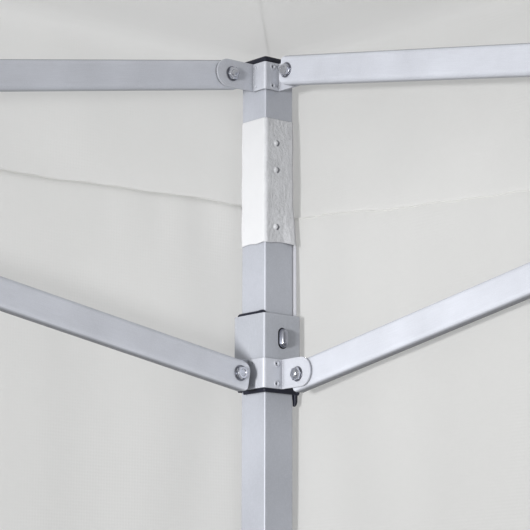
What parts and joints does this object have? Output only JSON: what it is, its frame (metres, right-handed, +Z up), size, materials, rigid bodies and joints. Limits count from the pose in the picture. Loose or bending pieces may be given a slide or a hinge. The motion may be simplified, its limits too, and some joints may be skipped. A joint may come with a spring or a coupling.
{
  "type": "pop up gazebo",
  "caption": "Square pop up gazebo with scissor truss bars, telescopic legs, sliders with snap buttons, a centre mast, a fabric canopy and a two-sided fabric wall.",
  "frame": {"origin": "on the ground under the centre of the gazebo, feet standing on z = 0", "axes": "+Z up along the legs and mast; +X and +Y square to the sides, towards the two walled sides"},
  "size_m": [3.023, 3.023, 2.567],
  "materials": {
    "canopy_fabric": "coated polyester, matt, off-white",
    "wall_fabric": "coated polyester, matt, off-white",
    "leg_steel": "silver-grey hammered powder coat",
    "truss_steel": "silver-grey hammered powder coat",
    "slider_steel": "zinc-plated, satin",
    "bracket_steel": "zinc-plated, satin",
    "foot_steel": "silver-grey powder coat",
    "button_steel": "polished",
    "liner_plastic": "black moulded nylon",
    "cap_plastic": "black moulded nylon"
  },
  "bodies": {
    "hub_top": {"hub_top_mast": "bracket_steel", "canopy": "canopy_fabric"},
    "hub_bottom": {"hub_bottom": "bracket_steel"},
    "roof_truss_east_upper": {"roof_truss_east_upper": "truss_steel"},
    "roof_truss_east_lower": {"roof_truss_east_lower": "truss_steel"},
    "truss_bar_east_ne_upper": {"truss_bar_east_ne_upper": "truss_steel"},
    "truss_bar_east_ne_lower": {"truss_bar_east_ne_lower": "truss_steel"},
    "truss_bar_east_se_upper": {"truss_bar_east_se_upper": "truss_steel"},
    "truss_bar_east_se_lower": {"truss_bar_east_se_lower": "truss_steel"},
    "mid_bracket_east_top": {"mid_bracket_east_top": "bracket_steel"},
    "mid_bracket_east_bottom": {"mid_bracket_east_bottom": "bracket_steel"},
    "leg_ne": {"leg_ne": "leg_steel", "leg_cap_ne": "cap_plastic", "side_walls": "wall_fabric"},
    "leg_foot_ne": {"leg_foot_ne": "foot_steel"},
    "slider_ne": {"slider_ne": "slider_steel", "slider_liner_ne": "liner_plastic"},
    "snap_button_ne": {"snap_button_ne": "button_steel"},
    "roof_truss_north_upper": {"roof_truss_north_upper": "truss_steel"},
    "roof_truss_north_lower": {"roof_truss_north_lower": "truss_steel"},
    "truss_bar_north_nw_upper": {"truss_bar_north_nw_upper": "truss_steel"},
    "truss_bar_north_nw_lower": {"truss_bar_north_nw_lower": "truss_steel"},
    "truss_bar_north_ne_upper": {"truss_bar_north_ne_upper": "truss_steel"},
    "truss_bar_north_ne_lower": {"truss_bar_north_ne_lower": "truss_steel"},
    "mid_bracket_north_top": {"mid_bracket_north_top": "bracket_steel"},
    "mid_bracket_north_bottom": {"mid_bracket_north_bottom": "bracket_steel"},
    "leg_nw": {"leg_nw": "leg_steel", "leg_cap_nw": "cap_plastic"},
    "leg_foot_nw": {"leg_foot_nw": "foot_steel"},
    "slider_nw": {"slider_nw": "slider_steel", "slider_liner_nw": "liner_plastic"},
    "snap_button_nw": {"snap_button_nw": "button_steel"},
    "roof_truss_west_upper": {"roof_truss_west_upper": "truss_steel"},
    "roof_truss_west_lower": {"roof_truss_west_lower": "truss_steel"},
    "truss_bar_west_sw_upper": {"truss_bar_west_sw_upper": "truss_steel"},
    "truss_bar_west_sw_lower": {"truss_bar_west_sw_lower": "truss_steel"},
    "truss_bar_west_nw_upper": {"truss_bar_west_nw_upper": "truss_steel"},
    "truss_bar_west_nw_lower": {"truss_bar_west_nw_lower": "truss_steel"},
    "mid_bracket_west_top": {"mid_bracket_west_top": "bracket_steel"},
    "mid_bracket_west_bottom": {"mid_bracket_west_bottom": "bracket_steel"},
    "leg_sw": {"leg_sw": "leg_steel", "leg_cap_sw": "cap_plastic"},
    "leg_foot_sw": {"leg_foot_sw": "foot_steel"},
    "slider_sw": {"slider_sw": "slider_steel", "slider_liner_sw": "liner_plastic"},
    "snap_button_sw": {"snap_button_sw": "button_steel"},
    "roof_truss_south_upper": {"roof_truss_south_upper": "truss_steel"},
    "roof_truss_south_lower": {"roof_truss_south_lower": "truss_steel"},
    "truss_bar_south_se_upper": {"truss_bar_south_se_upper": "truss_steel"},
    "truss_bar_south_se_lower": {"truss_bar_south_se_lower": "truss_steel"},
    "truss_bar_south_sw_upper": {"truss_bar_south_sw_upper": "truss_steel"},
    "truss_bar_south_sw_lower": {"truss_bar_south_sw_lower": "truss_steel"},
    "mid_bracket_south_top": {"mid_bracket_south_top": "bracket_steel"},
    "mid_bracket_south_bottom": {"mid_bracket_south_bottom": "bracket_steel"},
    "leg_se": {"leg_se": "leg_steel", "leg_cap_se": "cap_plastic"},
    "leg_foot_se": {"leg_foot_se": "foot_steel"},
    "slider_se": {"slider_se": "slider_steel", "slider_liner_se": "liner_plastic"},
    "snap_button_se": {"snap_button_se": "button_steel"}
  },
  "joints": [
    {"name": "fold", "type": "hinge", "parent": "hub_top", "child": "roof_truss_east_upper", "pos_m": [0.03, 0, 1.985], "axis": [0, 1, 0], "range_deg": [0, 78.5], "deforming": ["canopy", "side_walls", "snap_button_ne", "snap_button_nw", "snap_button_sw", "snap_button_se"]},
    {"name": "mid_bracket_east_bottom_roof_pivot", "type": "hinge", "parent": "roof_truss_east_upper", "child": "mid_bracket_east_bottom", "pos_m": [1.445, 0, 1.734], "axis": [0, 1, 0], "range_deg": [-79, 0]},
    {"name": "roof_truss_east_crossing", "type": "hinge", "parent": "roof_truss_east_upper", "child": "roof_truss_east_lower", "pos_m": [0.7375, 0, 1.8595], "axis": [0, 1, 0], "range_deg": [-157.5, 0]},
    {"name": "mid_bracket_east_top_roof_pivot", "type": "hinge", "parent": "roof_truss_east_lower", "child": "mid_bracket_east_top", "pos_m": [1.445, 0, 1.985], "axis": [0, 1, 0], "range_deg": [0, 79]},
    {"name": "hub_bottom_pivot", "type": "hinge", "parent": "roof_truss_east_lower", "child": "hub_bottom", "pos_m": [0.03, 0, 1.734], "axis": [0, 1, 0], "range_deg": [0, 79]},
    {"name": "truss_bar_east_ne_upper_mid_pivot", "type": "hinge", "parent": "mid_bracket_east_bottom", "child": "truss_bar_east_ne_upper", "pos_m": [1.485, 0.03, 1.734], "axis": [1, 0, 0], "range_deg": [0, 79]},
    {"name": "truss_bar_east_ne_lower_mid_pivot", "type": "hinge", "parent": "mid_bracket_east_top", "child": "truss_bar_east_ne_lower", "pos_m": [1.485, 0.03, 1.985], "axis": [1, 0, 0], "range_deg": [-79, 0]},
    {"name": "truss_bar_east_se_upper_mid_pivot", "type": "hinge", "parent": "mid_bracket_east_bottom", "child": "truss_bar_east_se_upper", "pos_m": [1.485, -0.03, 1.734], "axis": [1, 0, 0], "range_deg": [-79, 0]},
    {"name": "truss_bar_east_se_lower_mid_pivot", "type": "hinge", "parent": "mid_bracket_east_top", "child": "truss_bar_east_se_lower", "pos_m": [1.485, -0.03, 1.985], "axis": [1, 0, 0], "range_deg": [0, 79]},
    {"name": "leg_ne_top_pivot", "type": "hinge", "parent": "truss_bar_east_ne_upper", "child": "leg_ne", "pos_m": [1.485, 1.445, 1.985], "axis": [1, 0, 0], "range_deg": [-79, 0]},
    {"name": "slider_ne_pivot", "type": "hinge", "parent": "truss_bar_east_ne_lower", "child": "slider_ne", "pos_m": [1.485, 1.445, 1.734], "axis": [1, 0, 0], "range_deg": [0, 79]},
    {"name": "leg_ne_height", "type": "slide", "parent": "leg_ne", "child": "leg_foot_ne", "axis": [0, 0, 1], "range_m": [0, 0.48], "stiffness_N_per_m": 500, "springref_m": -0.5},
    {"name": "snap_button_ne_press", "type": "slide", "parent": "leg_ne", "child": "snap_button_ne", "axis": [0, 1, 0], "range_m": [0, 0.007], "stiffness_N_per_m": 1500, "springref_m": -0.002},
    {"name": "roof_truss_north_hub_pivot", "type": "hinge", "parent": "hub_top", "child": "roof_truss_north_upper", "pos_m": [0, 0.03, 1.985], "axis": [-1, 0, 0], "range_deg": [0, 79]},
    {"name": "mid_bracket_north_bottom_roof_pivot", "type": "hinge", "parent": "roof_truss_north_upper", "child": "mid_bracket_north_bottom", "pos_m": [0, 1.445, 1.734], "axis": [-1, 0, 0], "range_deg": [-79, 0]},
    {"name": "roof_truss_north_crossing", "type": "hinge", "parent": "roof_truss_north_upper", "child": "roof_truss_north_lower", "pos_m": [0, 0.7375, 1.8595], "axis": [-1, 0, 0], "range_deg": [-157.5, 0]},
    {"name": "mid_bracket_north_top_roof_pivot", "type": "hinge", "parent": "roof_truss_north_lower", "child": "mid_bracket_north_top", "pos_m": [0, 1.445, 1.985], "axis": [-1, 0, 0], "range_deg": [0, 79]},
    {"name": "truss_bar_north_nw_upper_mid_pivot", "type": "hinge", "parent": "mid_bracket_north_bottom", "child": "truss_bar_north_nw_upper", "pos_m": [-0.03, 1.485, 1.734], "axis": [0, 1, 0], "range_deg": [0, 79]},
    {"name": "truss_bar_north_nw_lower_mid_pivot", "type": "hinge", "parent": "mid_bracket_north_top", "child": "truss_bar_north_nw_lower", "pos_m": [-0.03, 1.485, 1.985], "axis": [0, 1, 0], "range_deg": [-79, 0]},
    {"name": "truss_bar_north_ne_upper_mid_pivot", "type": "hinge", "parent": "mid_bracket_north_bottom", "child": "truss_bar_north_ne_upper", "pos_m": [0.03, 1.485, 1.734], "axis": [0, 1, 0], "range_deg": [-79, 0]},
    {"name": "truss_bar_north_ne_lower_mid_pivot", "type": "hinge", "parent": "mid_bracket_north_top", "child": "truss_bar_north_ne_lower", "pos_m": [0.03, 1.485, 1.985], "axis": [0, 1, 0], "range_deg": [0, 79]},
    {"name": "leg_nw_top_pivot", "type": "hinge", "parent": "truss_bar_north_nw_upper", "child": "leg_nw", "pos_m": [-1.445, 1.485, 1.985], "axis": [0, 1, 0], "range_deg": [-79, 0]},
    {"name": "slider_nw_pivot", "type": "hinge", "parent": "truss_bar_north_nw_lower", "child": "slider_nw", "pos_m": [-1.445, 1.485, 1.734], "axis": [0, 1, 0], "range_deg": [0, 79]},
    {"name": "leg_nw_height", "type": "slide", "parent": "leg_nw", "child": "leg_foot_nw", "axis": [0, 0, 1], "range_m": [0, 0.48], "stiffness_N_per_m": 500, "springref_m": -0.5},
    {"name": "snap_button_nw_press", "type": "slide", "parent": "leg_nw", "child": "snap_button_nw", "axis": [-1, 0, 0], "range_m": [0, 0.007], "stiffness_N_per_m": 1500, "springref_m": -0.002},
    {"name": "roof_truss_west_hub_pivot", "type": "hinge", "parent": "hub_top", "child": "roof_truss_west_upper", "pos_m": [-0.03, 0, 1.985], "axis": [0, -1, 0], "range_deg": [0, 79]},
    {"name": "mid_bracket_west_bottom_roof_pivot", "type": "hinge", "parent": "roof_truss_west_upper", "child": "mid_bracket_west_bottom", "pos_m": [-1.445, 0, 1.734], "axis": [0, -1, 0], "range_deg": [-79, 0]},
    {"name": "roof_truss_west_crossing", "type": "hinge", "parent": "roof_truss_west_upper", "child": "roof_truss_west_lower", "pos_m": [-0.7375, 0, 1.8595], "axis": [0, -1, 0], "range_deg": [-157.5, 0]},
    {"name": "mid_bracket_west_top_roof_pivot", "type": "hinge", "parent": "roof_truss_west_lower", "child": "mid_bracket_west_top", "pos_m": [-1.445, 0, 1.985], "axis": [0, -1, 0], "range_deg": [0, 79]},
    {"name": "truss_bar_west_sw_upper_mid_pivot", "type": "hinge", "parent": "mid_bracket_west_bottom", "child": "truss_bar_west_sw_upper", "pos_m": [-1.485, -0.03, 1.734], "axis": [-1, 0, 0], "range_deg": [0, 79]},
    {"name": "truss_bar_west_sw_lower_mid_pivot", "type": "hinge", "parent": "mid_bracket_west_top", "child": "truss_bar_west_sw_lower", "pos_m": [-1.485, -0.03, 1.985], "axis": [-1, 0, 0], "range_deg": [-79, 0]},
    {"name": "truss_bar_west_nw_upper_mid_pivot", "type": "hinge", "parent": "mid_bracket_west_bottom", "child": "truss_bar_west_nw_upper", "pos_m": [-1.485, 0.03, 1.734], "axis": [-1, 0, 0], "range_deg": [-79, 0]},
    {"name": "truss_bar_west_nw_lower_mid_pivot", "type": "hinge", "parent": "mid_bracket_west_top", "child": "truss_bar_west_nw_lower", "pos_m": [-1.485, 0.03, 1.985], "axis": [-1, 0, 0], "range_deg": [0, 79]},
    {"name": "leg_sw_top_pivot", "type": "hinge", "parent": "truss_bar_west_sw_upper", "child": "leg_sw", "pos_m": [-1.485, -1.445, 1.985], "axis": [-1, 0, 0], "range_deg": [-79, 0]},
    {"name": "slider_sw_pivot", "type": "hinge", "parent": "truss_bar_west_sw_lower", "child": "slider_sw", "pos_m": [-1.485, -1.445, 1.734], "axis": [-1, 0, 0], "range_deg": [0, 79]},
    {"name": "leg_sw_height", "type": "slide", "parent": "leg_sw", "child": "leg_foot_sw", "axis": [0, 0, 1], "range_m": [0, 0.48], "stiffness_N_per_m": 500, "springref_m": -0.5},
    {"name": "snap_button_sw_press", "type": "slide", "parent": "leg_sw", "child": "snap_button_sw", "axis": [0, -1, 0], "range_m": [0, 0.007], "stiffness_N_per_m": 1500, "springref_m": -0.002},
    {"name": "roof_truss_south_hub_pivot", "type": "hinge", "parent": "hub_top", "child": "roof_truss_south_upper", "pos_m": [0, -0.03, 1.985], "axis": [1, 0, 0], "range_deg": [0, 79]},
    {"name": "mid_bracket_south_bottom_roof_pivot", "type": "hinge", "parent": "roof_truss_south_upper", "child": "mid_bracket_south_bottom", "pos_m": [0, -1.445, 1.734], "axis": [1, 0, 0], "range_deg": [-79, 0]},
    {"name": "roof_truss_south_crossing", "type": "hinge", "parent": "roof_truss_south_upper", "child": "roof_truss_south_lower", "pos_m": [0, -0.7375, 1.8595], "axis": [1, 0, 0], "range_deg": [-157.5, 0]},
    {"name": "mid_bracket_south_top_roof_pivot", "type": "hinge", "parent": "roof_truss_south_lower", "child": "mid_bracket_south_top", "pos_m": [0, -1.445, 1.985], "axis": [1, 0, 0], "range_deg": [0, 79]},
    {"name": "truss_bar_south_se_upper_mid_pivot", "type": "hinge", "parent": "mid_bracket_south_bottom", "child": "truss_bar_south_se_upper", "pos_m": [0.03, -1.485, 1.734], "axis": [0, -1, 0], "range_deg": [0, 79]},
    {"name": "truss_bar_south_se_lower_mid_pivot", "type": "hinge", "parent": "mid_bracket_south_top", "child": "truss_bar_south_se_lower", "pos_m": [0.03, -1.485, 1.985], "axis": [0, -1, 0], "range_deg": [-79, 0]},
    {"name": "truss_bar_south_sw_upper_mid_pivot", "type": "hinge", "parent": "mid_bracket_south_bottom", "child": "truss_bar_south_sw_upper", "pos_m": [-0.03, -1.485, 1.734], "axis": [0, -1, 0], "range_deg": [-79, 0]},
    {"name": "truss_bar_south_sw_lower_mid_pivot", "type": "hinge", "parent": "mid_bracket_south_top", "child": "truss_bar_south_sw_lower", "pos_m": [-0.03, -1.485, 1.985], "axis": [0, -1, 0], "range_deg": [0, 79]},
    {"name": "leg_se_top_pivot", "type": "hinge", "parent": "truss_bar_south_se_upper", "child": "leg_se", "pos_m": [1.445, -1.485, 1.985], "axis": [0, -1, 0], "range_deg": [-79, 0]},
    {"name": "slider_se_pivot", "type": "hinge", "parent": "truss_bar_south_se_lower", "child": "slider_se", "pos_m": [1.445, -1.485, 1.734], "axis": [0, -1, 0], "range_deg": [0, 79]},
    {"name": "leg_se_height", "type": "slide", "parent": "leg_se", "child": "leg_foot_se", "axis": [0, 0, 1], "range_m": [0, 0.48], "stiffness_N_per_m": 500, "springref_m": -0.5},
    {"name": "snap_button_se_press", "type": "slide", "parent": "leg_se", "child": "snap_button_se", "axis": [1, 0, 0], "range_m": [0, 0.007], "stiffness_N_per_m": 1500, "springref_m": -0.002}
  ],
  "couplings": [
    {"joint": "mid_bracket_east_bottom_roof_pivot", "follows": "fold", "ratio": -1},
    {"joint": "roof_truss_east_crossing", "follows": "fold", "ratio": -2},
    {"joint": "mid_bracket_east_top_roof_pivot", "follows": "fold", "ratio": 1},
    {"joint": "hub_bottom_pivot", "follows": "fold", "ratio": 1},
    {"joint": "truss_bar_east_ne_upper_mid_pivot", "follows": "fold", "ratio": 1},
    {"joint": "truss_bar_east_ne_lower_mid_pivot", "follows": "fold", "ratio": -1},
    {"joint": "truss_bar_east_se_upper_mid_pivot", "follows": "fold", "ratio": -1},
    {"joint": "truss_bar_east_se_lower_mid_pivot", "follows": "fold", "ratio": 1},
    {"joint": "leg_ne_top_pivot", "follows": "fold", "ratio": -1},
    {"joint": "slider_ne_pivot", "follows": "fold", "ratio": 1},
    {"joint": "roof_truss_north_hub_pivot", "follows": "fold", "ratio": 1},
    {"joint": "mid_bracket_north_bottom_roof_pivot", "follows": "fold", "ratio": -1},
    {"joint": "roof_truss_north_crossing", "follows": "fold", "ratio": -2},
    {"joint": "mid_bracket_north_top_roof_pivot", "follows": "fold", "ratio": 1},
    {"joint": "truss_bar_north_nw_upper_mid_pivot", "follows": "fold", "ratio": 1},
    {"joint": "truss_bar_north_nw_lower_mid_pivot", "follows": "fold", "ratio": -1},
    {"joint": "truss_bar_north_ne_upper_mid_pivot", "follows": "fold", "ratio": -1},
    {"joint": "truss_bar_north_ne_lower_mid_pivot", "follows": "fold", "ratio": 1},
    {"joint": "leg_nw_top_pivot", "follows": "fold", "ratio": -1},
    {"joint": "slider_nw_pivot", "follows": "fold", "ratio": 1},
    {"joint": "roof_truss_west_hub_pivot", "follows": "fold", "ratio": 1},
    {"joint": "mid_bracket_west_bottom_roof_pivot", "follows": "fold", "ratio": -1},
    {"joint": "roof_truss_west_crossing", "follows": "fold", "ratio": -2},
    {"joint": "mid_bracket_west_top_roof_pivot", "follows": "fold", "ratio": 1},
    {"joint": "truss_bar_west_sw_upper_mid_pivot", "follows": "fold", "ratio": 1},
    {"joint": "truss_bar_west_sw_lower_mid_pivot", "follows": "fold", "ratio": -1},
    {"joint": "truss_bar_west_nw_upper_mid_pivot", "follows": "fold", "ratio": -1},
    {"joint": "truss_bar_west_nw_lower_mid_pivot", "follows": "fold", "ratio": 1},
    {"joint": "leg_sw_top_pivot", "follows": "fold", "ratio": -1},
    {"joint": "slider_sw_pivot", "follows": "fold", "ratio": 1},
    {"joint": "roof_truss_south_hub_pivot", "follows": "fold", "ratio": 1},
    {"joint": "mid_bracket_south_bottom_roof_pivot", "follows": "fold", "ratio": -1},
    {"joint": "roof_truss_south_crossing", "follows": "fold", "ratio": -2},
    {"joint": "mid_bracket_south_top_roof_pivot", "follows": "fold", "ratio": 1},
    {"joint": "truss_bar_south_se_upper_mid_pivot", "follows": "fold", "ratio": 1},
    {"joint": "truss_bar_south_se_lower_mid_pivot", "follows": "fold", "ratio": -1},
    {"joint": "truss_bar_south_sw_upper_mid_pivot", "follows": "fold", "ratio": -1},
    {"joint": "truss_bar_south_sw_lower_mid_pivot", "follows": "fold", "ratio": 1},
    {"joint": "leg_se_top_pivot", "follows": "fold", "ratio": -1},
    {"joint": "slider_se_pivot", "follows": "fold", "ratio": 1}
  ]
}
